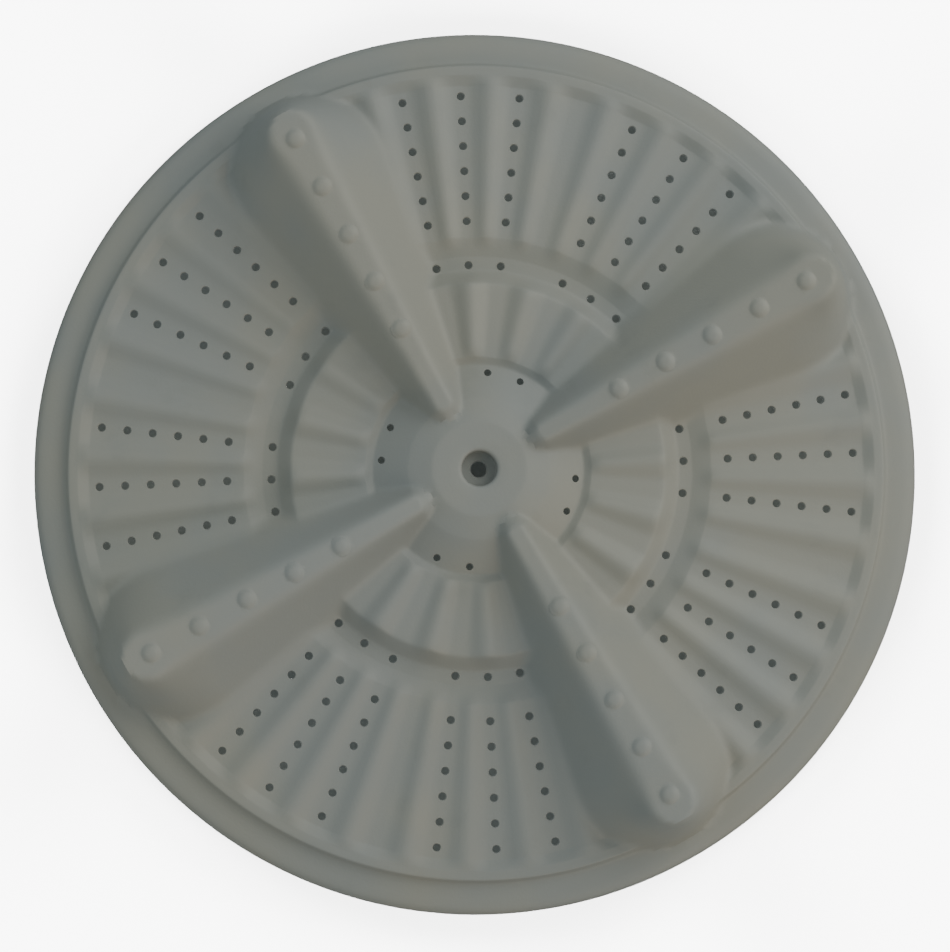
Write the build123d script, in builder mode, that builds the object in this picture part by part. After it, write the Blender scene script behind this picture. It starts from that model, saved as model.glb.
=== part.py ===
from build123d import *
import os
from math import asin, atan2, ceil, cos, pi, radians, sin, tan

# Washing machine pulsator: one injection-moulded disc that stands on the rim of its skirt.
# Millimetres, +Z up, origin on the axis at the skirt's lower edge. Four vanes lie on +X, +Y, -X, -Y.

# Plate
outer_radius = 170.0
wall = 2.6
edge_reach = 5.0
edge_shoulder = 1.6
rim_level = 11.0
rim_root_radius = 157.5
ledge_out_radius = 156.0
ledge_in_radius = 152.0
field_out_radius = 149.5
field_in_radius = 88.5
field_level = 14.5
groove_out_radius = 83.5
groove_in_radius = 76.0
groove_level = 11.5
inner_out_radius = 73.0
inner_in_radius = 43.5
inner_level = 18.0

# Hub and its screw seat
hub_foot_radius = 40.0
hub_foot_level = 16.0
hub_shoulder_radius = 27.0
hub_shoulder_level = 23.2
hub_top_radius = 18.0
hub_top_level = 26.0
seat_radius = 6.7
seat_level = 19.0
seat_lip = 1.6
screw_radius = 3.1
screw_chamfer = 0.6

# Shaft socket under the hub
boss_radius = 16.0
boss_foot = 2.0
socket_ceiling = 15.0
socket_root_radius = 8.2
socket_tip_radius = 7.0
socket_teeth = 11
tooth_share = 0.3

# Flutes: ridges with a flat-floored valley between each two
outer_flutes = 40
inner_flutes = 20
flute_rise = 0.12
floor_share = 0.26
flute_flats = 5
hollow_flats = 3
flute_root = 0.9
flute_setback = 0.4
flute_bury = 0.2
flute_inset = 1.0
hollow_shortfall = 2.5
ledge_rise = 3.3

# Drain holes
hole_radius = 1.5
hole_sides = 6
hole_rows = (18.0, 27.0, 36.0)
first_hole_radius = 96.0
hole_pitch = 9.7
holes_in_row = 6
groove_hole_radius = 79.2
inner_hole_ring = 37.3
inner_hole_angle = 35.0
inner_hole_size = 1.3

# Vanes
vanes = 4
nose_centre = 28.0
nose_foot_radius = 10.5
nose_crest_radius = 2.6
nose_shoulder_radius = 5.4
nose_crest_level = 30.0
tail_centre = 129.5
tail_foot_radius = 31.5
tail_crest_centre = 141.5
tail_crest_radius = 5.8
tail_shoulder_radius = 11.0
tail_crest_level = 46.0
crest_drop = 3.4
vane_foot = 10.4
hollow_foot = 8.0
nose_flats = 4
tail_flats = 9
dome_radius = 4.0
dome_height = 2.0
dome_shoulder_share = 0.8
dome_shoulder_height = 1.2
dome_top_share = 0.4
dome_flats = 8
first_dome = 60.0
dome_pitch = 20.0
domes = 5

# Stiffening ribs under the plate and webs in the vanes
rib = 1.8
rib_foot = 3.5
rib_bury = 0.15
cross_web_radius = 110.5
cross_web_angle = 22.5

step_angle = 360 / vanes
crest_slope = atan2(tail_crest_level - nose_crest_level, tail_crest_centre - nose_centre)
ledge_level = field_level + ledge_rise

# The plate's upper outline, from the screw hole to the skirt's lower edge
plate_top = [
    (screw_radius, seat_level),
    (seat_radius, seat_level),
    (seat_radius, hub_top_level - seat_lip),
    (seat_radius + seat_lip, hub_top_level),
    (hub_top_radius, hub_top_level),
    (hub_shoulder_radius, hub_shoulder_level),
    (hub_foot_radius, hub_foot_level),
    (inner_in_radius, inner_level),
    (inner_out_radius, inner_level),
    (groove_in_radius, groove_level),
    (groove_out_radius, groove_level),
    (field_in_radius, field_level),
    (field_out_radius, field_level),
    (ledge_in_radius, ledge_level),
    (ledge_out_radius, ledge_level),
    (rim_root_radius, rim_level),
    (outer_radius - edge_reach, rim_level),
    (outer_radius - edge_shoulder, rim_level - edge_shoulder),
    (outer_radius, rim_level - edge_reach),
    (outer_radius, 0),
]


def parallel(outline, gap):
    """The mitred outline at an even gap below an open one."""
    facing = [atan2(y2 - y1, x2 - x1) - pi / 2 for (x1, y1), (x2, y2) in zip(outline, outline[1:])]
    corners = []
    for (x, y), before, after in zip(outline, facing[:1] + facing, facing + facing[-1:]):
        reach = gap / cos((after - before) / 2)
        middle = (after + before) / 2
        corners.append((x + reach * cos(middle), y + reach * sin(middle)))
    return corners


def plate_level(radius):
    """Height of the plate's upper outline at a radius."""
    for (r1, z1), (r2, z2) in zip(plate_top, plate_top[1:]):
        if r1 <= radius < r2:
            return z1 + (z2 - z1) * (radius - r1) / (r2 - r1)
    return rim_level


def upright(angle):
    """The radial plane at an angle, with x pointing outwards and y up."""
    a = radians(angle)
    return Plane(origin=(0, 0, 0), x_dir=(cos(a), sin(a), 0), z_dir=(sin(a), -cos(a), 0))


def flat_sided(*sections):
    """A solid with flat faces only, through a stack of outlines that have as many corners each."""
    skin = [Face(Wire.make_polygon(sections[0])), Face(Wire.make_polygon(sections[-1]))]
    for low, high in zip(sections, sections[1:]):
        for n in range(len(low)):
            a, b, c, d = low[n - 1], low[n], high[n], high[n - 1]
            # Each side is two triangles that share its shorter diagonal
            if (a - c).length < (b - d).length:
                corners = ((a, b, c), (a, c, d))
            else:
                corners = ((a, b, d), (b, c, d))
            skin += [Face(Wire.make_polygon(triangle)) for triangle in corners]
    return Solid(Shell(skin)).clean()


def flute(count, flats, start, end, end_slope=0):
    """A ridge on the X axis: one swell of a cosine wave that grows with the radius, drawn with flats."""
    sections = []
    for r in (start, end):
        pitch = 2 * r * tan(pi / count)
        half = pitch * (1 - floor_share) / 2
        steps = [2 * n / flats - 1 for n in range(flats + 1)]
        swell = [Vector(r, half * t, pitch * flute_rise * (1 + cos(pi * t)) / 2) for t in steps]
        sections.append([Vector(r, -half, -flute_root), *swell, Vector(r, half, -flute_root)])
    with BuildPart() as ridge:
        add(flat_sided(*sections))
        if end_slope:
            split(bisect_by=Plane(origin=(start, 0, 0), z_dir=(end_slope, 0, -1)))
    return ridge.part


def open_crests(count):
    """Angles of the crests beside a vane, as far as the one on the seam with the next quarter."""
    pitch = 360 / count
    side = [pitch * (n + 0.5) for n in range(1, ceil(count / vanes / 2))]
    return [-a for a in reversed(side)] + side


def ridge_ring(ridge, count, level):
    """The ridge at every open crest, at a level."""
    with BuildPart() as ring:
        for angle in open_crests(count):
            add(ridge.moved(Location((0, 0, level), (0, 0, angle))))
    return ring.part


# The underside has no corner below the ledge's inner edge and the shoulder of the rounded rim
smoothed = (ledge_in_radius, outer_radius - edge_shoulder)
plate_under = parallel([(r, z) for r, z in plate_top if r not in smoothed], wall)

wall_slope = (field_level - groove_level) / (field_in_radius - groove_out_radius)
outer_ridges = ridge_ring(
    flute(
        outer_flutes,
        flute_flats,
        field_in_radius + flute_setback,
        ledge_in_radius - flute_bury,
        wall_slope,
    ),
    outer_flutes,
    field_level,
)
outer_hollows = ridge_ring(
    flute(
        outer_flutes,
        hollow_flats,
        field_in_radius + hollow_shortfall,
        field_out_radius - hollow_shortfall,
    ),
    outer_flutes,
    field_level - wall,
)
inner_ridges = ridge_ring(
    flute(inner_flutes, flute_flats, inner_in_radius + flute_inset, inner_out_radius - flute_inset),
    inner_flutes,
    inner_level,
)
inner_hollows = ridge_ring(
    flute(
        inner_flutes,
        hollow_flats,
        inner_in_radius + hollow_shortfall,
        inner_out_radius - hollow_shortfall,
    ),
    inner_flutes,
    inner_level - wall,
)


def teardrop(level, nose, nose_radius, tail, tail_radius):
    """Outline on a plane of a small round and a large round joined by tangents, both drawn with flats."""
    lean = asin((tail_radius - nose_radius) / (tail - nose))
    nose_turn = (pi - 2 * lean) / nose_flats
    tail_turn = (pi + 2 * lean) / tail_flats
    nose_angles = [pi / 2 + lean + nose_turn * n for n in range(nose_flats + 1)]
    tail_angles = [-pi / 2 - lean + tail_turn * n for n in range(tail_flats + 1)]
    points = [(nose + nose_radius * cos(t), nose_radius * sin(t)) for t in nose_angles]
    points += [(tail + tail_radius * cos(t), tail_radius * sin(t)) for t in tail_angles]
    return [level.from_local_coords(point) for point in points]


def crest_plane(drop):
    """The plane along a vane's rising crest, or a little below it."""
    return Plane(
        origin=(nose_centre, 0, nose_crest_level - drop),
        x_dir=(cos(crest_slope), 0, sin(crest_slope)),
        z_dir=(-sin(crest_slope), 0, cos(crest_slope)),
    )


def vane_solid(inset, foot):
    """A vane's mound, drawn in from its true outline by a wall, from a foot level to its crest."""
    drop = field_level - foot
    nose_spread = (nose_foot_radius - nose_shoulder_radius) / (nose_crest_level - field_level)
    tail_spread = (tail_foot_radius - tail_shoulder_radius) / (tail_crest_level - field_level)
    tail_shift = (tail_crest_centre - tail_centre) / (tail_crest_level - field_level)
    crest_run = (tail_crest_centre - nose_centre) / cos(crest_slope)
    foot_outline = teardrop(
        Plane.XY.offset(foot),
        nose_centre + inset,
        nose_foot_radius - inset + drop * nose_spread,
        tail_centre - drop * tail_shift,
        tail_foot_radius - inset + drop * tail_spread,
    )
    shoulder = teardrop(
        crest_plane(inset + crest_drop),
        inset,
        nose_shoulder_radius - inset,
        crest_run,
        tail_shoulder_radius - inset,
    )
    crest = teardrop(
        crest_plane(inset),
        inset,
        nose_crest_radius - inset / 2,
        crest_run,
        tail_crest_radius - inset / 2,
    )
    return flat_sided(foot_outline, shoulder, crest)


# The mound with its row of low domes, each a steep step under a shallow one
with BuildPart() as vane:
    add(vane_solid(0, vane_foot))
    for n in range(domes):
        run = (first_dome + dome_pitch * n - nose_centre) / cos(crest_slope)
        around = [2 * pi * k / dome_flats for k in range(dome_flats)]
        steps = (
            (1, -crest_drop / 2),
            (dome_shoulder_share, dome_shoulder_height),
            (dome_top_share, dome_height),
        )
        rings = []
        for share, height in steps:
            ring = [(run + dome_radius * share * cos(t), dome_radius * share * sin(t)) for t in around]
            rings.append([crest_plane(-height).from_local_coords(point) for point in ring])
        add(flat_sided(*rings))

hollow = vane_solid(wall, hollow_foot)
web_top = tail_crest_level + dome_height

# A lengthwise web and a curved cross web stiffen the hollow of the vane
with BuildPart() as vane_webs:
    with BuildSketch(upright(0)):
        Rectangle(outer_radius, web_top, align=Align.MIN)
    extrude(amount=rib / 2, both=True)
    with BuildSketch(upright(-cross_web_angle)):
        with Locations((cross_web_radius, 0)):
            Rectangle(rib, web_top, align=(Align.CENTER, Align.MIN))
    revolve(axis=Axis.Z, revolution_arc=2 * cross_web_angle)
    add(vane_solid(wall / 2, vane_foot), mode=Mode.INTERSECT)


# A radial rib's side view: flat below, and buried in the plate's wall above
rib_start = boss_radius - rib
skirt_middle = outer_radius - wall / 2
rib_outline = [
    (rib_start, rib_foot),
    (rib_start, plate_level(rib_start) - rib_bury),
    *[(r, z - rib_bury) for r, z in plate_top if rib_start < r < skirt_middle - wall / 2],
    (skirt_middle, rim_level - edge_reach),
    (skirt_middle, rib_foot),
]


# One quarter of the moulding, with its vane in the middle
with BuildPart() as quarter:
    with BuildSketch(upright(-step_angle / 2)):
        with BuildLine():
            Polyline(*plate_top, *reversed(plate_under), close=True)
        make_face()
    revolve(axis=Axis.Z, revolution_arc=step_angle)
    for ridges, hollows in ((outer_ridges, outer_hollows), (inner_ridges, inner_hollows)):
        add(ridges)
        add(hollows, mode=Mode.SUBTRACT)
    add(vane.part)
    add(hollow, mode=Mode.SUBTRACT)
    add(vane_webs.part)
    with BuildSketch(upright(0)):
        Polygon(*rib_outline, align=None)
    extrude(amount=rib / 2, both=True)
    # Half of each rib between the vanes, up to the seam with the next quarter
    for side in (-1, 1):
        with BuildSketch(upright(side * step_angle / 2)):
            Polygon(*rib_outline, align=None)
        extrude(amount=side * rib / 2)
    with BuildSketch(upright(-step_angle / 2)):
        Polygon(
            (screw_radius, boss_foot),
            (boss_radius, boss_foot),
            (boss_radius, hub_top_level - wall / 2),
            (seat_radius + wall / 2, hub_top_level - wall / 2),
            (seat_radius + wall / 2, seat_level - wall / 2),
            (screw_radius, seat_level - wall / 2),
            align=None,
        )
    revolve(axis=Axis.Z, revolution_arc=step_angle)
    with BuildSketch():
        for angle in hole_rows:
            for side in (-1, 1):
                rows = [first_hole_radius + hole_pitch * n for n in range(holes_in_row)]
                for r in (groove_hole_radius, *rows):
                    with PolarLocations(r, 1, start_angle=side * angle):
                        RegularPolygon(hole_radius, hole_sides)
        for side in (-1, 1):
            with PolarLocations(inner_hole_ring, 1, start_angle=side * inner_hole_angle):
                RegularPolygon(inner_hole_size, hole_sides)
    extrude(amount=hub_top_level, mode=Mode.SUBTRACT)

# The whole moulding
with BuildPart() as disc:
    with PolarLocations(0, vanes):
        add(quarter.part)

# The serrated socket for the drive shaft, from below, and the bevel round the screw hole, from above
with BuildPart() as pulsator:
    add(disc.part.fix())
    with BuildSketch(Plane.XY.offset(boss_foot)):
        tooth = 2 * pi / socket_teeth
        Polygon(
            *[
                (reach * cos(tooth * (n + turn)), reach * sin(tooth * (n + turn)))
                for n in range(socket_teeth)
                for turn, reach in (
                    (-tooth_share, socket_root_radius),
                    (tooth_share, socket_root_radius),
                    (0.5 - tooth_share / 3, socket_tip_radius),
                    (0.5 + tooth_share / 3, socket_tip_radius),
                )
            ],
            align=None,
        )
    extrude(amount=socket_ceiling - boss_foot, mode=Mode.SUBTRACT)
    with Locations((0, 0, seat_level)):
        Cone(
            screw_radius,
            screw_radius + screw_chamfer,
            screw_chamfer,
            align=(Align.CENTER, Align.CENTER, Align.MAX),
            mode=Mode.SUBTRACT,
        )

pulsator.part.label = "pulsator"
os.makedirs("parts", exist_ok=True)
export_step(pulsator.part, "parts/pulsator.step")
print("solids", len(pulsator.part.solids()), "volume", round(pulsator.part.volume))
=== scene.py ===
# %% [markdown]
# # A washing machine pulsator
# The object is the wide fluted disc that turns at the bottom of a washing machine's tub. It is one
# moulding of pale, semi-matte plastic: a rim, a ring of flutes with rows of drain holes, a groove, a
# ring of wider flutes, a hub, and four teardrop vanes that stir the water.
#
# The measured solid comes in first, as a fixed frame. Everything here is in metres and in its
# coordinates, so that each form lies where the solid has it. The box round the solid is kept, because
# the finished object may not outgrow it.

# %% Load the frame
import bmesh
import bpy
import math
from mathutils import Matrix, Vector


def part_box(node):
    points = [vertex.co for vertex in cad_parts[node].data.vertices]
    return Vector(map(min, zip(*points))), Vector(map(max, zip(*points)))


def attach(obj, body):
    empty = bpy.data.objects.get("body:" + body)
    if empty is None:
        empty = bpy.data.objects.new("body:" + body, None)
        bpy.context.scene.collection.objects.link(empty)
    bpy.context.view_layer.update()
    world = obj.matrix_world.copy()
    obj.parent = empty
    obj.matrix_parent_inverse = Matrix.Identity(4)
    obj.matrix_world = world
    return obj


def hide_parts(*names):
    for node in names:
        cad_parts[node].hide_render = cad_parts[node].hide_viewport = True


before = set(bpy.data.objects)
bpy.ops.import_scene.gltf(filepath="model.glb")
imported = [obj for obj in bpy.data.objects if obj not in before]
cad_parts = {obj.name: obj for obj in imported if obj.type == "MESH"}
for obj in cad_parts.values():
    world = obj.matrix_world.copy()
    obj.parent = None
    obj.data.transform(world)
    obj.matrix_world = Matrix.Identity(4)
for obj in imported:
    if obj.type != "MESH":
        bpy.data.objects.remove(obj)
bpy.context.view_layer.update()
lowest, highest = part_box("pulsator")
print("box of the solid", [round(v, 4) for v in lowest], [round(v, 4) for v in highest])

# %% [markdown]
# ## The sizes of the moulding
# A maker draws a turned part as a section: how far from the axis, and how high. Each corner of the
# section below also has the radius that rounds it, because moulded plastic has no razor edges. The
# outermost radius is read from the frame's box. From the axis outwards come the hub and its cone, the
# ring of inner flutes, the groove, the field of outer flutes, the ledge, and the rim, which slopes down
# a little to its rounded edge.

# %% Section of the upper face
mm = 0.001
outer_radius = highest[0]
wall = 2.6 * mm
field_level = 14.5 * mm
hub_level = 26 * mm
inner_ring_level = 17.7 * mm
groove_level = 12.2 * mm
ledge_level = 16.5 * mm
rim_level = 12.8 * mm
rim_edge_level = 11.9 * mm
rim_rounding = 5 * mm
inner_ledge_corner = (152.4 * mm, ledge_level, 2 * mm)

upper_section = [
    (14 * mm, hub_level, 0),
    (18 * mm, hub_level, 6 * mm),
    (27 * mm, 23.2 * mm, 8 * mm),
    (40.3 * mm, 16.2 * mm, 1.5 * mm),
    (43.2 * mm, inner_ring_level, 1.5 * mm),
    (71.5 * mm, inner_ring_level, 2.5 * mm),
    (77 * mm, groove_level, 2.5 * mm),
    (82.5 * mm, groove_level, 3 * mm),
    (89.5 * mm, field_level, 3 * mm),
    (148.4 * mm, field_level, 2 * mm),
    inner_ledge_corner,
    (156 * mm, ledge_level, 1 * mm),
    (157.4 * mm, rim_level, 2 * mm),
    (outer_radius, rim_edge_level, rim_rounding),
    (outer_radius, 0, 0.3 * mm),
]
print("corners of the upper face", len(upper_section))

# %% [markdown]
# A rounded corner is drawn as a short curve between a point before it and a point after it. The
# long runs between the corners then get more points, because the flutes and the vanes are pushed up
# out of them later and a surface can only bend where it has points. The underside, which fewer people
# see, gets by with wider steps. Where two corners are close, each rounding keeps to its half of the run
# between them.

# %% Round the corners and space the points
corner_steps = 3
most_of_run = 0.49
upper_spacing = 2 * mm
lower_spacing = 4.5 * mm


def rounded(section):
    """The section's points, with each corner that has a radius drawn as a short curve."""
    path = []
    for n, (radius, level, rounding) in enumerate(section):
        corner = Vector((radius, level))
        if not rounding or n in (0, len(section) - 1):
            path.append(corner)
            continue
        back = Vector(section[n - 1][:2]) - corner
        ahead = Vector(section[n + 1][:2]) - corner
        reach = rounding / math.tan(back.angle(ahead) / 2)
        reach = min(reach, back.length * most_of_run, ahead.length * most_of_run)
        start = corner + back.normalized() * reach
        end = corner + ahead.normalized() * reach
        for step in range(corner_steps + 1):
            t = step / corner_steps
            path.append(start * (1 - t) ** 2 + corner * 2 * t * (1 - t) + end * t ** 2)
    return path


def spaced(path, longest):
    """The path with points added, so that no run in it is longer than that."""
    points = [path[0]]
    for start, end in zip(path, path[1:]):
        pieces = max(1, math.ceil((end - start).length / longest))
        points += [start.lerp(end, n / pieces) for n in range(1, pieces + 1)]
    return points


upper_path = spaced(rounded(upper_section), upper_spacing)
print("rings in the upper face", len(upper_path))

# %% [markdown]
# ## The underside
# A moulded wall has the same thickness everywhere, so the face below follows the one above at an
# even distance. It starts at the inside of the skirt and ends at the round boss under the hub. There
# the path goes down the boss, into the serrated socket for the drive shaft, up through the screw hole
# and out over the sunk seat of the screw, where it meets the upper face again. The corner inside the
# ledge has no partner below, where so small a step would fold over itself.

# %% Section of the lower face
under_rounding = 0.5 * mm
boss_radius = 16 * mm
boss_foot = 2 * mm
socket_ceiling = 15 * mm
socket_root = 8.2 * mm
socket_tip = 7 * mm
screw_radius = 3.1 * mm
screw_bevel = 0.6 * mm
seat_radius = 6.7 * mm
seat_level = 19 * mm
seat_lip = 1.6 * mm
hub_top_radius = 12 * mm


def below(section, gap):
    """The mitred section at an even gap under another one."""
    facing = []
    for (r1, z1, _), (r2, z2, _) in zip(section, section[1:]):
        facing.append(math.atan2(z2 - z1, r2 - r1) - math.pi / 2)
    corners = []
    pairs = zip(facing[:1] + facing, facing + facing[-1:])
    for (radius, level, _), (before, after) in zip(section, pairs):
        reach = gap / math.cos((after - before) / 2)
        middle = (after + before) / 2
        shifted = radius + reach * math.cos(middle)
        corners.append((shifted, level + reach * math.sin(middle), under_rounding))
    return corners


plate_under = below([corner for corner in upper_section if corner != inner_ledge_corner], wall)
under_path = spaced(rounded(plate_under[:0:-1]), lower_spacing)
hub_under = plate_under[0][1]
boss_path = [
    Vector((boss_radius, hub_under)),
    Vector((boss_radius, boss_foot)),
]
socket_path = [
    Vector((socket_root, boss_foot)),
    Vector((socket_root, socket_ceiling)),
]
seat_path = rounded(
    [
        (screw_radius, socket_ceiling, 0),
        (screw_radius, seat_level - screw_bevel, 0),
        (screw_radius + screw_bevel, seat_level, 0),
        (seat_radius, seat_level, under_rounding),
        (seat_radius, hub_level, seat_lip),
        (hub_top_radius, hub_level, 0),
    ]
)
print("rings in the lower face", len(under_path) + len(boss_path) + len(socket_path) + len(seat_path))

# %% [markdown]
# ## Turn the section into a body
# A section swept round the axis makes a mesh of rings. The upper face gets twice as many points to a
# ring as the lower one, and both get more of them near the vanes, where the surface is steepest. Two
# numbers are stored with each point: how far it lies under the outer skin, and whether flutes and vanes
# shape it. The skirt, the boss and the hub's top stay as they are turned. The socket's eleven teeth are
# already drawn here, by moving its rings in and out.

# %% Directions of the points
near_vane = 14
near_steps = 48
far_steps = 66
socket_teeth = 11
tooth_flat = 0.2
tooth_slope = 0.2


def station_angles():
    """The directions in which a ring has its points, closer together beside each vane."""
    angles = []
    for quarter in range(4):
        start = quarter * 90 - near_vane
        angles += [start + 2 * near_vane * n / near_steps for n in range(near_steps)]
        span = 90 - 2 * near_vane
        angles += [start + 2 * near_vane + span * n / far_steps for n in range(far_steps)]
    return [math.radians(a) for a in angles]


def tooth_radius(angle):
    """The socket's radius in a direction: its roots, its tips and the slopes between them."""
    place = angle * socket_teeth / (2 * math.pi) % 1
    from_middle = abs(place - 0.5) * 2
    share = min(max((from_middle - tooth_flat) / tooth_slope, 0), 1)
    return socket_tip + (socket_root - socket_tip) * share


fine = station_angles()
coarse = fine[::2]
print("points in a ring", len(fine), "above and", len(coarse), "below")

# %% Points of the rings
shaped_reach = (17 * mm, 166 * mm)
shaped_above = 5 * mm
rings = [(p, fine, 0, False) for p in upper_path]
rings += [(p, coarse, wall, False) for p in under_path + boss_path]
rings += [(p, coarse, wall, True) for p in socket_path]
rings += [(p, coarse, 0, False) for p in seat_path]
points = []
insets = []
shaped = []
for place, angles, inset, serrated in rings:
    for angle in angles:
        reach = tooth_radius(angle) if serrated else place.x
        points.append((reach * math.cos(angle), reach * math.sin(angle), place.y))
        insets.append(inset)
        in_reach = shaped_reach[0] < place.x < shaped_reach[1]
        shaped.append(1.0 if in_reach and place.y >= shaped_above else 0.0)
print("points that flutes and vanes may lift", int(sum(shaped)))

# %% Faces between the rings


def ring_faces(first, first_count, second, second_count):
    """Faces between two rings of points, where one may have twice as many points as the other."""
    faces = []
    for n in range(min(first_count, second_count)):
        a, b = first + n, first + (n + 1) % first_count
        c, d = second + n, second + (n + 1) % second_count
        if first_count == second_count:
            faces.append((a, c, d, b))
        elif first_count > second_count:
            a, middle, b = (first + (2 * n + k) % first_count for k in range(3))
            faces += [(a, c, middle), (c, d, middle), (d, b, middle)]
        else:
            c, middle, d = (second + (2 * n + k) % second_count for k in range(3))
            faces += [(a, c, middle), (a, middle, b), (b, middle, d)]
    return faces


counts = [len(angles) for _, angles, _, _ in rings]
starts = [sum(counts[:n]) for n in range(len(counts))]
faces = []
for n in range(len(rings)):
    following = (n + 1) % len(rings)
    faces += ring_faces(starts[n], counts[n], starts[following], counts[following])
print("faces between the rings", len(faces))

# %% Make the body


def new_piece(name, points, faces):
    """An object with that mesh, at the origin."""
    mesh = bpy.data.meshes.new(name)
    mesh.from_pydata(points, [], faces)
    mesh.validate()
    piece = bpy.data.objects.new(name, mesh)
    bpy.context.scene.collection.objects.link(piece)
    return piece


def mark(piece, name, values):
    """Stores a number with each point of a piece."""
    piece.data.attributes.new(name, "FLOAT", "POINT").data.foreach_set("value", values)


body = new_piece("pulsator_disc", points, faces)
mark(body, "inset", insets)
mark(body, "shaped", shaped)
print("turned body", len(body.data.vertices), "points")

# %% [markdown]
# ## Node trees written as sums
# Geometry Nodes and shader nodes are wired here from Python. One small class wraps a socket, so that
# a sum written with + and * adds the Math nodes it needs. One method adds every other kind of node:
# its settings come first, then the values or links of its sockets.

# %% A socket that Python can reckon with


class Reading:
    """A socket of a node tree that Python's operators work on."""

    def __init__(self, bench, socket):
        self.bench = bench
        self.socket = socket

    def maths(self, operation, *others):
        """A Math node on this value and others."""
        sockets = dict(enumerate((self, *others)))
        return self.bench.add("ShaderNodeMath", {"operation": operation}, sockets)

    def output(self, name):
        """Another output of the same node."""
        return Reading(self.bench, self.socket.node.outputs[name])

    def __add__(self, other):
        return self.maths("ADD", other)

    def __sub__(self, other):
        return self.maths("SUBTRACT", other)

    def __rsub__(self, other):
        return self.bench.add("ShaderNodeMath", {"operation": "SUBTRACT"}, {0: other, 1: self})

    def __mul__(self, other):
        return self.maths("MULTIPLY", other)

    def __truediv__(self, other):
        return self.maths("DIVIDE", other)

    __radd__ = __add__
    __rmul__ = __mul__


class Bench:
    """A node tree, with one method that adds any node to it."""

    def __init__(self, tree):
        self.tree = tree

    def add(self, kind, settings=None, sockets=None, out=0):
        """Adds a node, sets and wires it, and returns the reading of one of its outputs."""
        node = self.tree.nodes.new(kind)
        for name, value in (settings or {}).items():
            setattr(node, name, value)
        for key, value in (sockets or {}).items():
            if isinstance(value, Reading):
                self.tree.links.new(value.socket, node.inputs[key])
            else:
                node.inputs[key].default_value = value
        return Reading(self, node.outputs[out]) if len(node.outputs) else None


print("reading and bench are ready")

# %% [markdown]
# Each shaping step is a tree with named inputs for its sizes, like the dials of a tool. The dials are
# set on the modifier by each socket's own identifier, before the piece is looked at for the first time.

# %% A tree with dials, and the modifier that sets them
DIAL_KINDS = {float: "NodeSocketFloat", int: "NodeSocketInt", bpy.types.Object: "NodeSocketObject"}


def tree_with_dials(name, dials):
    """A geometry tree with one input for each dial. Returns its bench and the readings of the dials."""
    tree = bpy.data.node_groups.new(name, "GeometryNodeTree")
    tree.interface.new_socket("Geometry", in_out="INPUT", socket_type="NodeSocketGeometry")
    for title, value in dials.items():
        tree.interface.new_socket(title, in_out="INPUT", socket_type=DIAL_KINDS[type(value)])
    tree.interface.new_socket("Geometry", in_out="OUTPUT", socket_type="NodeSocketGeometry")
    bench = Bench(tree)
    entry = bench.add("NodeGroupInput")
    return bench, {socket.name: Reading(bench, socket) for socket in entry.socket.node.outputs}


def deliver(bench, geometry, material):
    """Ends a tree: instances become real, the material is set, and the result goes out."""
    real = bench.add("GeometryNodeRealizeInstances", {}, {"Geometry": geometry})
    finished = bench.add("GeometryNodeSetMaterial", {}, {"Geometry": real, "Material": material})
    bench.add("NodeGroupOutput", {}, {"Geometry": finished})


def fit(piece, bench, dials):
    """Puts the tree on a piece as a modifier, and sets its dials by their identifiers."""
    modifier = piece.modifiers.new(bench.tree.name, "NODES")
    modifier.node_group = bench.tree
    for item in bench.tree.interface.items_tree:
        if item.in_out == "INPUT" and item.name in dials:
            modifier[item.identifier] = dials[item.name]


def settle(piece):
    """Turns what the modifiers make into the piece's plain mesh."""
    graph = bpy.context.evaluated_depsgraph_get()
    mesh = bpy.data.meshes.new_from_object(piece.evaluated_get(graph))
    piece.modifiers.clear()
    piece.data = mesh
    triangles = sum(len(face.vertices) - 2 for face in mesh.polygons)
    print(piece.name, "has", triangles, "triangles")


plastic = bpy.data.materials.new("semi_matte_plastic")
print("material to be finished later:", plastic.name)

# %% [markdown]
# ## Flutes and vanes, as a rule
# Both are too regular to model by hand. A flute is one swell of a cosine wave with a flat-floored
# valley on each side; there are forty in the outer ring and twenty in the inner one. Each fades out
# at the walls that bound its ring.
#
# A vane is a mound over a teardrop. The distance to a teardrop, a small round and a large round joined
# by tangents, is easy to work out. A sloping flank leads from the foot's teardrop up to a narrower
# one, and a rising crest cuts it off. Smooth Minimum rounds the crest's edges, and Smooth Maximum
# gives the foot its moulded fillet. Folding the plane along its axes and diagonals makes one vane four.
# The lower face gets the same forms, drawn in by the wall. A flute's rise is a share of its pitch, so
# that the flutes grow outwards as they widen.

# %% The dials of the shape
nose_centre = 28 * mm
nose_crest_level = 30 * mm
tail_crest_centre = 141.5 * mm
tail_crest_level = 46 * mm
crest_climb = (tail_crest_level - nose_crest_level) / (tail_crest_centre - nose_centre)
shape_dials = {
    "Nose centre": nose_centre,
    "Nose foot radius": 10.5 * mm,
    "Nose shoulder radius": 5.4 * mm,
    "Tail centre": 129.5 * mm,
    "Tail foot radius": 31.5 * mm,
    "Tail crest centre": tail_crest_centre,
    "Tail shoulder radius": 11 * mm,
    "Foot level": field_level,
    "Nose crest level": nose_crest_level,
    "Crest climb": crest_climb,
    "Shoulder drop": 3.4 * mm,
    "Crest rounding": 6.5 * mm,
    "Foot fillet": 5 * mm,
    "Outer flutes": 40.0,
    "Inner flutes": 20.0,
    "Flute rise": 0.12,
    "Floor share": 0.26,
}
print("dials of the shape", len(shape_dials))

# %% Distance to a teardrop


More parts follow.
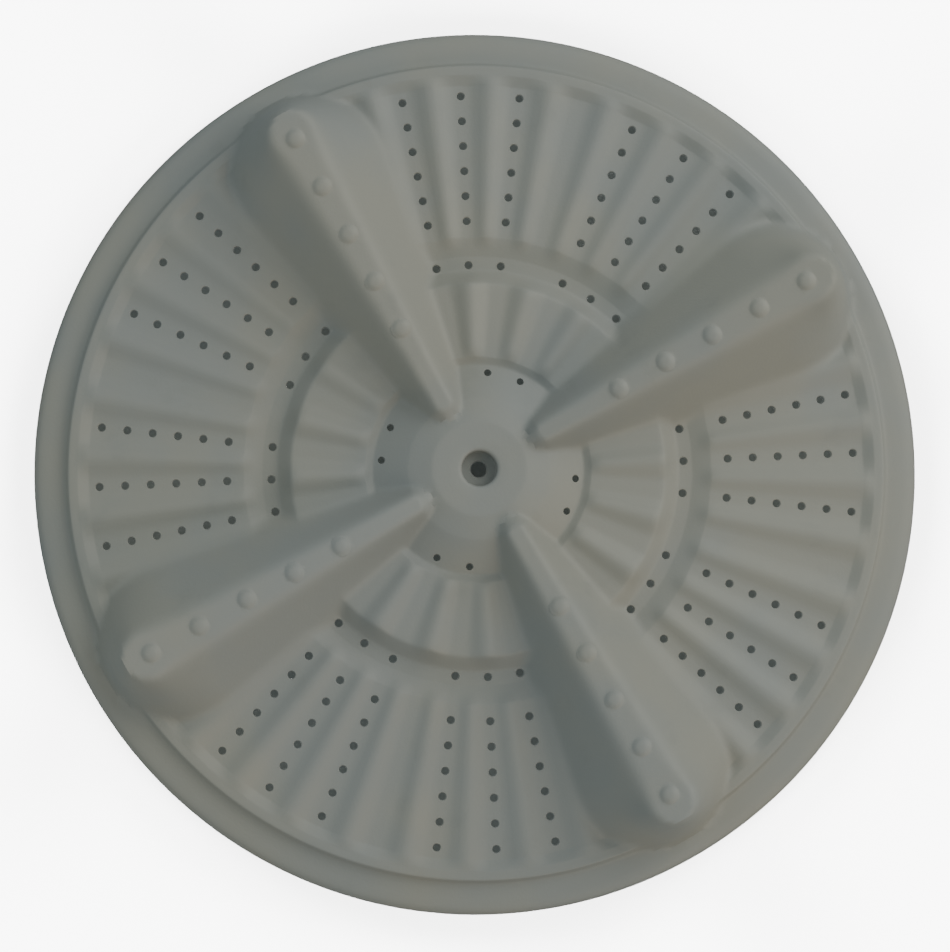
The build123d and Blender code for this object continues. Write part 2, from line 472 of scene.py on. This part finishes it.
def teardrop_gap(along, across, nose, nose_radius, tail, tail_radius):
    """Distance from the outline of a small round and a large round joined by tangents."""
    lean = (tail_radius - nose_radius) / (tail - nose)
    straight = (1 - lean * lean).maths("SQRT")
    ahead = along - nose
    beyond = along - tail
    station = ahead * straight + across * lean
    at_nose = station.maths("LESS_THAN", 0.0)
    at_tail = station.maths("GREATER_THAN", straight * (tail - nose))
    nose_gap = (ahead * ahead + across * across).maths("SQRT") - nose_radius
    tail_gap = (beyond * beyond + across * across).maths("SQRT") - tail_radius
    side_gap = across * straight - ahead * lean - nose_radius
    return nose_gap * at_nose + tail_gap * at_tail + side_gap * (1 - at_nose - at_tail)


def fade(bench, value, start, end):
    """A smooth step from nothing at start to one at end."""
    sockets = {"Value": value, "From Min": start, "From Max": end}
    return bench.add("ShaderNodeMapRange", {"interpolation_type": "SMOOTHSTEP"}, sockets)


def flute_swell(turn, radius, count, rise, floor_share):
    """Height of the flutes in a direction, with crests half way between the multiples of the pitch."""
    place = ((turn * count / (2 * math.pi)).maths("FRACT") - 0.5) * 2 / (1 - floor_share)
    wave = (place.maths("MINIMUM", 1.0).maths("MAXIMUM", -1.0) * math.pi).maths("COSINE")
    pitch = radius * (2 * math.pi) / count
    return pitch * rise * (wave + 1) / 2


print("teardrop and flute rules are ready")

# %% [markdown]
# Each ring of flutes starts and ends at a wall. Four radii say where its flutes begin and are full, and
# where they have gone and are last full.

# %% Build the shaping tree
outer_fades = (84 * mm, 92 * mm, 153.2 * mm, 148 * mm)
inner_fades = (41.5 * mm, 46.5 * mm, 76 * mm, 69.5 * mm)


def shaping_tree():
    """The tree that raises flutes and vanes out of a turned body."""
    bench, dial = tree_with_dials("raise flutes and vanes", shape_dials)
    place = bench.add("ShaderNodeSeparateXYZ", {}, {0: bench.add("GeometryNodeInputPosition")})
    x, y, z = place, place.output("Y"), place.output("Z")
    named = {}
    for name in ("inset", "shaped"):
        settings = {"data_type": "FLOAT"}
        named[name] = bench.add("GeometryNodeInputNamedAttribute", settings, {"Name": name})
    inset = named["inset"]
    wide, tall = x.maths("ABSOLUTE"), y.maths("ABSOLUTE")
    along = wide.maths("MAXIMUM", tall)
    across = wide.maths("MINIMUM", tall)
    foot_gap = teardrop_gap(
        along,
        across,
        dial["Nose centre"] + inset,
        dial["Nose foot radius"] - inset,
        dial["Tail centre"],
        dial["Tail foot radius"] - inset,
    )
    shoulder_gap = teardrop_gap(
        along,
        across,
        dial["Nose centre"] + inset,
        dial["Nose shoulder radius"] - inset,
        dial["Tail crest centre"],
        dial["Tail shoulder radius"] - inset,
    )
    crest = dial["Nose crest level"] - inset + (along - dial["Nose centre"]) * dial["Crest climb"]
    shoulder = crest - dial["Shoulder drop"]
    slide = shoulder_gap / (shoulder_gap - foot_gap)
    flank = shoulder + (dial["Foot level"] - shoulder) * slide
    mound = flank.maths("SMOOTH_MIN", crest, dial["Crest rounding"])
    turn = y.maths("ARCTAN2", x)
    radius = (x * x + y * y).maths("SQRT")
    plate = z
    for count, fades in (("Outer flutes", outer_fades), ("Inner flutes", inner_fades)):
        swell = flute_swell(turn, radius, dial[count], dial["Flute rise"], dial["Floor share"])
        fade_in = fade(bench, radius, fades[0], fades[1])
        fade_out = fade(bench, radius, fades[2], fades[3])
        plate = plate + swell * fade_in * fade_out
    raised = plate.maths("SMOOTH_MAX", mound, dial["Foot fillet"])
    lift = bench.add("ShaderNodeCombineXYZ", {}, {"Z": (raised - z) * named["shaped"]})
    moved = bench.add("GeometryNodeSetPosition", {}, {"Geometry": dial["Geometry"], "Offset": lift})
    deliver(bench, moved, plastic)
    return bench


shaping = shaping_tree()
print("nodes in the shaping tree", len(shaping.tree.nodes))

# %% Shape the body
fit(body, shaping, shape_dials)
settle(body)
print("height of the shaped body", round(max(v.co.z for v in body.data.vertices), 4))

# %% [markdown]
# ## Webs in the vanes
# A hollow vane would flex, so moulders put thin webs inside: one along it, which is part of the long
# rib under the plate, and one across it. The cross web is a short curved strip. Its upper points carry
# the same two numbers as the body's, so the shaping tree lifts them into the middle of the vane's wall.

# %% Cross web
rib = 1.8 * mm
cross_web_radius = 110.5 * mm
cross_web_angle = 20
web_foot = 10.4 * mm
web_root = field_level - wall / 2


def curved_strip(name, radius, half_angle, low, high):
    """A thin upright strip that follows a circle round the axis, with its upper points left to shape."""
    points = []
    for step in range(-half_angle, half_angle + 1):
        angle = math.radians(step)
        for reach in (radius - rib / 2, radius + rib / 2):
            points += [(reach * math.cos(angle), reach * math.sin(angle), z) for z in (low, high)]
    faces = [(0, 2, 3, 1)]
    for n in range(0, len(points) - 4, 4):
        for a, b in ((0, 1), (1, 3), (3, 2), (2, 0)):
            faces.append((n + a, n + b, n + 4 + b, n + 4 + a))
    end = len(points) - 4
    faces.append((end, end + 1, end + 3, end + 2))
    strip = new_piece(name, points, faces)
    mark(strip, "inset", [wall / 2] * len(points))
    mark(strip, "shaped", [float(n % 2) for n in range(len(points))])
    return strip


cross_web = curved_strip("cross_web", cross_web_radius, cross_web_angle, web_foot, web_root)
fit(cross_web, shaping, shape_dials)
settle(cross_web)

# %% [markdown]
# ## Ribs under the plate
# Eight straight ribs run from the boss to the skirt: four under the vanes, where they also stiffen
# the hollow of the vane, and four between them. Each is a flat plate on edge, so its side view is
# drawn once and given a thickness. Its upper edge ends inside the wall of the plate, and joins it.
# The side views run clockwise, seen with the axis on the left, and the faces are listed to suit.

# %% Ribs, drawn from the side
rib_foot = 3.5 * mm
rib_bury = 1.2 * mm
rib_start = boss_radius - rib
rib_end_level = 6 * mm
under_rim = (164.5 * mm, rim_level - rib_bury)
skirt_middle = outer_radius - wall / 2

rib_low_edge = [(skirt_middle, rib_end_level), (skirt_middle, rib_foot), (rib_start, rib_foot)]
hub_edge = [(rib_start, hub_level - rib_bury), (18 * mm, hub_level - rib_bury)]
vane_edge = [
    (24.6 * mm, 25.6 * mm),
    (27 * mm, 28.4 * mm),
    (145.8 * mm, tail_crest_level - 0.9 * mm),
    (150.6 * mm, 42.5 * mm),
    (159.2 * mm, field_level),
    (160.4 * mm, rim_level - rib_bury),
    under_rim,
]
plate_edge = [
    (27 * mm, 22 * mm),
    (40 * mm, 14.8 * mm),
    (44.5 * mm, 17 * mm),
    (50 * mm, 18.4 * mm),
    (68 * mm, 18.4 * mm),
    (71.5 * mm, 16.3 * mm),
    (76.6 * mm, 11 * mm),
    (83 * mm, 11 * mm),
    (88.5 * mm, 13.3 * mm),
    (147.6 * mm, 13.3 * mm),
    (153.2 * mm, 15.2 * mm),
    (155 * mm, 15.2 * mm),
    (156.4 * mm, rim_level - rib_bury),
    under_rim,
]


def upright_plate(name, side_view, thickness):
    """A flat plate on edge, in the plane of the X axis, from its side view."""
    count = len(side_view)
    points = [(r, side * thickness / 2, z) for side in (-1, 1) for r, z in side_view]
    faces = [tuple(reversed(range(count))), tuple(range(count, 2 * count))]
    for n in range(count):
        following = (n + 1) % count
        faces.append((n, following, following + count, n + count))
    return new_piece(name, points, faces)


vane_rib = upright_plate("vane_rib", [*hub_edge, *vane_edge, *rib_low_edge], rib)
plate_rib = upright_plate("plate_rib", [*hub_edge, *plate_edge, *rib_low_edge], rib)
print("corners in the ribs", len(vane_rib.data.vertices), "and", len(plate_rib.data.vertices))

# %% [markdown]
# ## Domes and hole cutters
# Five low round domes stand along each crest. They, and the pins that cut the drain holes, are turned
# shapes. A pin is a touch wider at its top, so that each hole gets the soft lip that real ones have.

# %% Turned shapes


def turned(name, profile, sides):
    """A closed turned shape from (radius, level) points, lowest first."""
    points = []
    for radius, level in profile:
        for n in range(sides):
            angle = 2 * math.pi * n / sides
            points.append((radius * math.cos(angle), radius * math.sin(angle), level))
    faces = [tuple(reversed(range(sides)))]
    for row in range(len(profile) - 1):
        for n in range(sides):
            following = (n + 1) % sides
            low, high = row * sides, (row + 1) * sides
            faces.append((low + n, low + following, high + following, high + n))
    top = (len(profile) - 1) * sides
    faces.append(tuple(range(top, top + sides)))
    return new_piece(name, points, faces)


hole_radius = 1.5 * mm
hole_lip = 0.25 * mm
lip_top = 0.02 * mm
pin_depth = 7 * mm
pin_height = 6 * mm
pin_sides = 20
pin_profile = [
    (hole_radius, -pin_depth),
    (hole_radius, -hole_lip),
    (hole_radius + hole_lip, lip_top),
    (hole_radius + hole_lip, pin_height),
]
hole_pin = turned("hole_pin", pin_profile, pin_sides)

dome_sides = 24
dome_radius = 4 * mm
dome_height = 1.2 * mm
dome_shape = [
    (1.0, -0.9),
    (0.98, -0.05),
    (0.88, 0.1),
    (0.76, 0.38),
    (0.6, 0.7),
    (0.42, 0.9),
    (0.2, 0.99),
]
dome_profile = [(dome_radius * r, dome_height * z) for r, z in dome_shape]
dome = turned("dome", dome_profile, dome_sides)
print("faces in a pin", len(hole_pin.data.polygons), "and in a dome", len(dome.data.polygons))

# %% [markdown]
# ## Repeat them with Geometry Nodes
# Everything that repeats is an instance on a point. A line of points gives a row of one shape. A second
# line, whose points all lie at the axis, carries the row once for each direction, turned by a rule. The
# repeated shapes are then joined to the body or cut out of it.

# %% Spread shapes round the axis


def spread_tree(name, operation, dials, angle_of, tilt=0.0):
    """A tree that lines up a shape, spreads the line round the axis and joins or cuts the result."""
    bench, dial = tree_with_dials(name, dials)
    shape = {"Object": dial["Shape"], "As Instance": False}
    tool = bench.add("GeometryNodeObjectInfo", {}, shape, "Geometry")
    start = bench.add("ShaderNodeCombineXYZ", {}, {"X": dial["First radius"], "Z": dial["Level"]})
    stride = bench.add("ShaderNodeCombineXYZ", {}, {"X": dial["Pitch"], "Z": dial["Climb"]})
    line = bench.add(
        "GeometryNodeMeshLine",
        {},
        {"Count": dial["In a row"], "Start Location": start, "Offset": stride},
    )
    lean = bench.add("FunctionNodeEulerToRotation", {}, {0: (0.0, tilt, 0.0)})
    row = bench.add(
        "GeometryNodeInstanceOnPoints",
        {},
        {"Points": line, "Instance": tool, "Rotation": lean, "Scale": dial["Scale"]},
    )
    at_axis = {"Count": dial["Rows"], "Offset": (0.0, 0.0, 0.0)}
    axis_points = bench.add("GeometryNodeMeshLine", {}, at_axis)
    index = bench.add("GeometryNodeInputIndex")
    euler = bench.add("ShaderNodeCombineXYZ", {}, {"Z": angle_of(index)})
    turn = bench.add("FunctionNodeEulerToRotation", {}, {0: euler})
    turned_rows = {"Points": axis_points, "Instance": row, "Rotation": turn}
    round_axis = bench.add("GeometryNodeInstanceOnPoints", {}, turned_rows)
    tools = bench.add("GeometryNodeRealizeInstances", {}, {"Geometry": round_axis})
    settings = {"operation": operation, "solver": "MANIFOLD"}
    joined = bench.add("GeometryNodeMeshBoolean", settings)
    meshes = joined.socket.node.inputs
    first = "Mesh 1" if operation == "DIFFERENCE" else "Mesh 2"
    bench.tree.links.new(dial["Geometry"].socket, meshes[first])
    bench.tree.links.new(tools.socket, meshes["Mesh 2"])
    deliver(bench, joined, plastic)
    return bench


print("the tree that spreads and joins is ready")

# %% [markdown]
# Three rules say where the rows go. Ribs, webs and domes repeat in each quarter. The holes keep clear
# of the vanes: the flutes are 9 degrees apart, and the rows lie 2, 3, 4, 6, 7 and 8 such steps after
# each vane. So a rule counts the rows in trios, and skips one step after an odd trio and three steps
# after an even one.

# %% Directions of what repeats


def quarter_turns(first):
    """One direction in each quarter, starting at first degrees."""
    return lambda index: index * math.radians(90) + math.radians(first)


def hole_row_turns(index):
    """Three directions on each side of every vane: 18, 27 and 36 degrees from it."""
    a_little_over = 0.01
    trio = (index / 3 + a_little_over).maths("FLOOR")
    skipped = trio * 2 - trio.maths("FLOORED_MODULO", 2.0)
    return (index + skipped + 2) * math.radians(9)


def ring_hole_turns(index):
    """Two directions between every two vanes: 35 degrees from each of them."""
    odd = index.maths("FLOORED_MODULO", 2.0)
    return (index - odd) * math.radians(45) + odd * math.radians(20) + math.radians(35)


def spread(piece, name, operation, angle_of, shape, rows, tilt=0.0, **sizes):
    """Spreads a shape round the axis of a piece, and joins it to the piece or cuts it out."""
    dials = {
        "Shape": shape,
        "Rows": rows,
        "In a row": sizes.get("in_a_row", 1),
        "First radius": sizes.get("first_radius", 0.0),
        "Pitch": sizes.get("pitch", 0.0),
        "Level": sizes.get("level", 0.0),
        "Climb": sizes.get("climb", 0.0),
        "Scale": sizes.get("scale", 1.0),
    }
    fit(piece, spread_tree(name, operation, dials, angle_of, tilt), dials)
    print(name, rows, "times", dials["In a row"])


# %% [markdown]
# Ribs and webs go in first, then the domes. A dome is tilted to stand square on the rising crest.

# %% Join ribs, webs and domes
first_dome = 60 * mm
dome_pitch = 20 * mm
crest_tilt = -math.atan(crest_climb)
spread(body, "ribs under the vanes", "UNION", quarter_turns(0), vane_rib, 4)
spread(body, "ribs between the vanes", "UNION", quarter_turns(45), plate_rib, 4)
spread(body, "cross webs", "UNION", quarter_turns(0), cross_web, 4)
spread(
    body,
    "domes along the crests",
    "UNION",
    quarter_turns(0),
    dome,
    4,
    crest_tilt,
    in_a_row=5,
    first_radius=first_dome,
    pitch=dome_pitch,
    level=nose_crest_level + crest_climb * (first_dome - nose_centre),
    climb=dome_pitch * crest_climb,
)

# %% [markdown]
# The 176 drain holes are cut last, so that no later join can close one: 24 rows of six along the
# valleys of the outer flutes, one hole in the groove before each row, and eight slightly smaller ones at
# the foot of the hub.

# %% Cut the drain holes
spread(
    body,
    "holes between the outer flutes",
    "DIFFERENCE",
    hole_row_turns,
    hole_pin,
    24,
    in_a_row=6,
    first_radius=96 * mm,
    pitch=9.7 * mm,
    level=field_level,
)
spread(
    body,
    "holes in the groove",
    "DIFFERENCE",
    hole_row_turns,
    hole_pin,
    24,
    first_radius=79.2 * mm,
    level=groove_level,
)
spread(
    body,
    "holes at the foot of the hub",
    "DIFFERENCE",
    ring_hole_turns,
    hole_pin,
    8,
    first_radius=37.3 * mm,
    level=17.5 * mm,
    scale=0.87,
)
settle(body)
for helper in (vane_rib, plate_rib, cross_web, dome, hole_pin):
    bpy.data.objects.remove(helper)

# %% [markdown]
# Where the joined shapes meet, a few points lie much closer together than a hair is thick. They are
# merged, so that no face is left without an area, and the merged mesh is checked: every edge has two
# faces, and a volume above nothing shows that the faces point outwards.

# %% Merge the nearest points
weld_reach = 0.004 * mm
shell = bmesh.new()
shell.from_mesh(body.data)
bmesh.ops.remove_doubles(shell, verts=shell.verts, dist=weld_reach)
print("edges that two faces don't share", sum(len(edge.link_faces) != 2 for edge in shell.edges))
print("volume in cubic centimetres", round(shell.calc_volume() * 1e6, 1))
shell.to_mesh(body.data)
shell.free()

# %% [markdown]
# A moulding shades smoothly over its curves and breaks sharply at its edges. The mesh says which
# edges are sharp by the angle between their faces.

# %% Shade the body
sharp_from = math.radians(38)
body.data.shade_smooth()
body.data.set_sharp_from_angle(angle=sharp_from)
print("corners in the shaded body", len(body.data.vertices))

# %% [markdown]
# ## The plastic
# The real disc is off-white polypropylene, seen in dim light: a soft sheen, a very fine grain from the
# mould, and small uneven patches where it has yellowed or greyed in use. Noise at two scales mixes a cool
# and a warm grey, a finer one varies the sheen, and the finest gives the grain as a bump.

# %% Finish the plastic
plastic.use_nodes = True
shade = Bench(plastic.node_tree)
surface = plastic.node_tree.nodes["Principled BSDF"]
spot = shade.add("ShaderNodeTexCoord", {}, {}, "Object")


def noise(scale, detail, roughness=0.5):
    """Smooth noise on the piece's own coordinates. A scale of 100 gives spots about a centimetre wide."""
    sockets = {"Vector": spot, "Scale": scale, "Detail": detail, "Roughness": roughness}
    return shade.add("ShaderNodeTexNoise", {}, sockets)


def mixed(share, first, second):
    """One colour turning into another where the share rises to one."""
    sockets = {"Factor": share, "A": first, "B": second}
    return shade.add("ShaderNodeMix", {"data_type": "RGBA"}, sockets, "Result")


cool_grey = (0.292, 0.31, 0.302, 1)
warm_grey = (0.325, 0.328, 0.294, 1)
worn_grey = (0.25, 0.262, 0.245, 1)
wear = 0.35
least_roughness = 0.5
roughness_spread = 0.16
patches = fade(shade, noise(scale=14.0, detail=3.0), 0.36, 0.64)
stains = fade(shade, noise(scale=46.0, detail=5.0, roughness=0.62), 0.55, 0.78)
tint = mixed(stains * wear, mixed(patches, cool_grey, warm_grey), worn_grey)
sheen = noise(scale=120.0, detail=2.0) * roughness_spread + least_roughness
grain_height = noise(scale=900.0, detail=2.0)
grain_sockets = {"Strength": 0.25, "Distance": 0.2 * mm, "Height": grain_height}
grain = shade.add("ShaderNodeBump", {}, grain_sockets)
for name, reading in (("Base Color", tint), ("Roughness", sheen), ("Normal", grain)):
    plastic.node_tree.links.new(reading.socket, surface.inputs[name])
plastic_ior = 1.49
surface.inputs["IOR"].default_value = plastic_ior
body.data.materials.clear()
body.data.materials.append(plastic)
print("plastic nodes", len(plastic.node_tree.nodes))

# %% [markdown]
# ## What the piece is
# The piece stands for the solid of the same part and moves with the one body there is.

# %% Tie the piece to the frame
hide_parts("pulsator")
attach(body, "root")
print("pieces", [body.name])

# %% [markdown]
# ## Floor and light
# The disc lies on a plain pale floor. The floor shows itself to the camera only: as a mirror or a source
# of bounced light it would brighten the vanes' tails, which are dark in the photograph.

# %% Floor
side = 6
floor_corners = [(-side, -side, 0), (side, -side, 0), (side, side, 0), (-side, side, 0)]
floor = new_piece("floor", floor_corners, [(0, 1, 2, 3)])
paper = bpy.data.materials.new("pale_floor")
paper.use_nodes = True
sheet = paper.node_tree.nodes["Principled BSDF"]
paper_white = (0.9, 0.9, 0.9, 1)
paper_roughness = 0.8
sheet.inputs["Base Color"].default_value = paper_white
sheet.inputs["Roughness"].default_value = paper_roughness
floor.data.materials.append(paper)
floor.visible_diffuse = False
floor.visible_glossy = False
print("floor", 2 * side, "metres wide")

# %% [markdown]
# One large soft light, the window, stands low at the upper right of the picture, so that the flutes and
# the vanes' far flanks fall into shade as they do in the photograph. A weak cool light fills from the
# left, and a weak warm one from the lower right. The dim world fills the rest. Four low lamps reach
# nothing but the floor, and make it nearly as white as the photograph's background. They stand too low
# to shine down through the drain holes, which stay dark.

# %% Lights
photo_turn = 0.51644


def soft_light(name, azimuth, elevation, distance, size, power, colour):
    """A square lamp aimed at the disc. The azimuth is the direction that it has in the photograph."""
    lamp = bpy.data.lights.new(name, "AREA")
    lamp.size = size
    lamp.energy = power
    lamp.color = colour
    holder = bpy.data.objects.new(name, lamp)
    bpy.context.scene.collection.objects.link(holder)
    turn = math.radians(azimuth) - photo_turn
    lift = math.radians(elevation)
    place = Vector((math.cos(lift) * math.cos(turn), math.cos(lift) * math.sin(turn), math.sin(lift)))
    holder.location = place * distance
    holder.rotation_euler = place.to_track_quat("Z", "Y").to_euler()
    print(name, [round(v, 2) for v in holder.location])
    return holder


daylight = (1.0, 0.985, 0.925)
cool_light = (0.86, 0.95, 1.0)
warm_light = (1.0, 0.79, 0.58)
white_light = (1.0, 1.0, 1.0)
soft_light("window", 35, 38, distance=1.25, size=1.2, power=9.2, colour=daylight)
soft_light("cool_fill", 180, 40, distance=1.6, size=1.4, power=3.4, colour=cool_light)
soft_light("warm_fill", -57, 28, distance=1.5, size=0.8, power=4.8, colour=warm_light)
floor_only = bpy.data.collections.new("lit_floor")
floor_only.objects.link(floor)
for n in range(4):
    corner = 45 + 90 * n
    name = f"backdrop_lamp_{n}"
    lamp = soft_light(name, corner, 25, distance=1.6, size=0.9, power=150, colour=white_light)
    lamp.light_linking.receiver_collection = floor_only
world = bpy.data.worlds.new("room")
world.use_nodes = True
room = world.node_tree.nodes["Background"]
dim_air = (0.9, 1.0, 0.99, 1)
dimness = 0.3
room.inputs["Color"].default_value = dim_air
room.inputs["Strength"].default_value = dimness
bpy.context.scene.world = world

# %% [markdown]
# ## The camera
# The photograph was taken from almost straight above. Its place, tilt and lens were worked out from
# the centres of the drain holes, and three turns after each other bring the disc into its view. The
# focal length and the picture's centre are in pixels, as such a fit gives them, and the turns are in
# radians.

# %% Camera
image_size = (950, 952)
focal_pixels = 2564.45
lens_distance = 0.99633
photo_centre = (476.758, 471.913)
tilt_x = -0.05354
tilt_y = 0.03924
sensor_width = 36

view = (
    Matrix.Rotation(tilt_y, 3, "Y")
    @ Matrix.Rotation(tilt_x, 3, "X")
    @ Matrix.Rotation(photo_turn, 3, "Z")
).transposed()
lens = bpy.data.cameras.new("camera")
lens.sensor_width = sensor_width
lens.lens = focal_pixels * sensor_width / max(image_size)
lens.shift_x = (image_size[0] / 2 - photo_centre[0]) / max(image_size)
lens.shift_y = (photo_centre[1] - image_size[1] / 2) / max(image_size)
camera = bpy.data.objects.new("camera", lens)
camera.matrix_world = Matrix.Translation(view @ Vector((0, 0, lens_distance))) @ view.to_4x4()
bpy.context.scene.collection.objects.link(camera)
bpy.context.scene.camera = camera
print("lens", round(lens.lens, 2), "at", [round(v, 3) for v in camera.location])
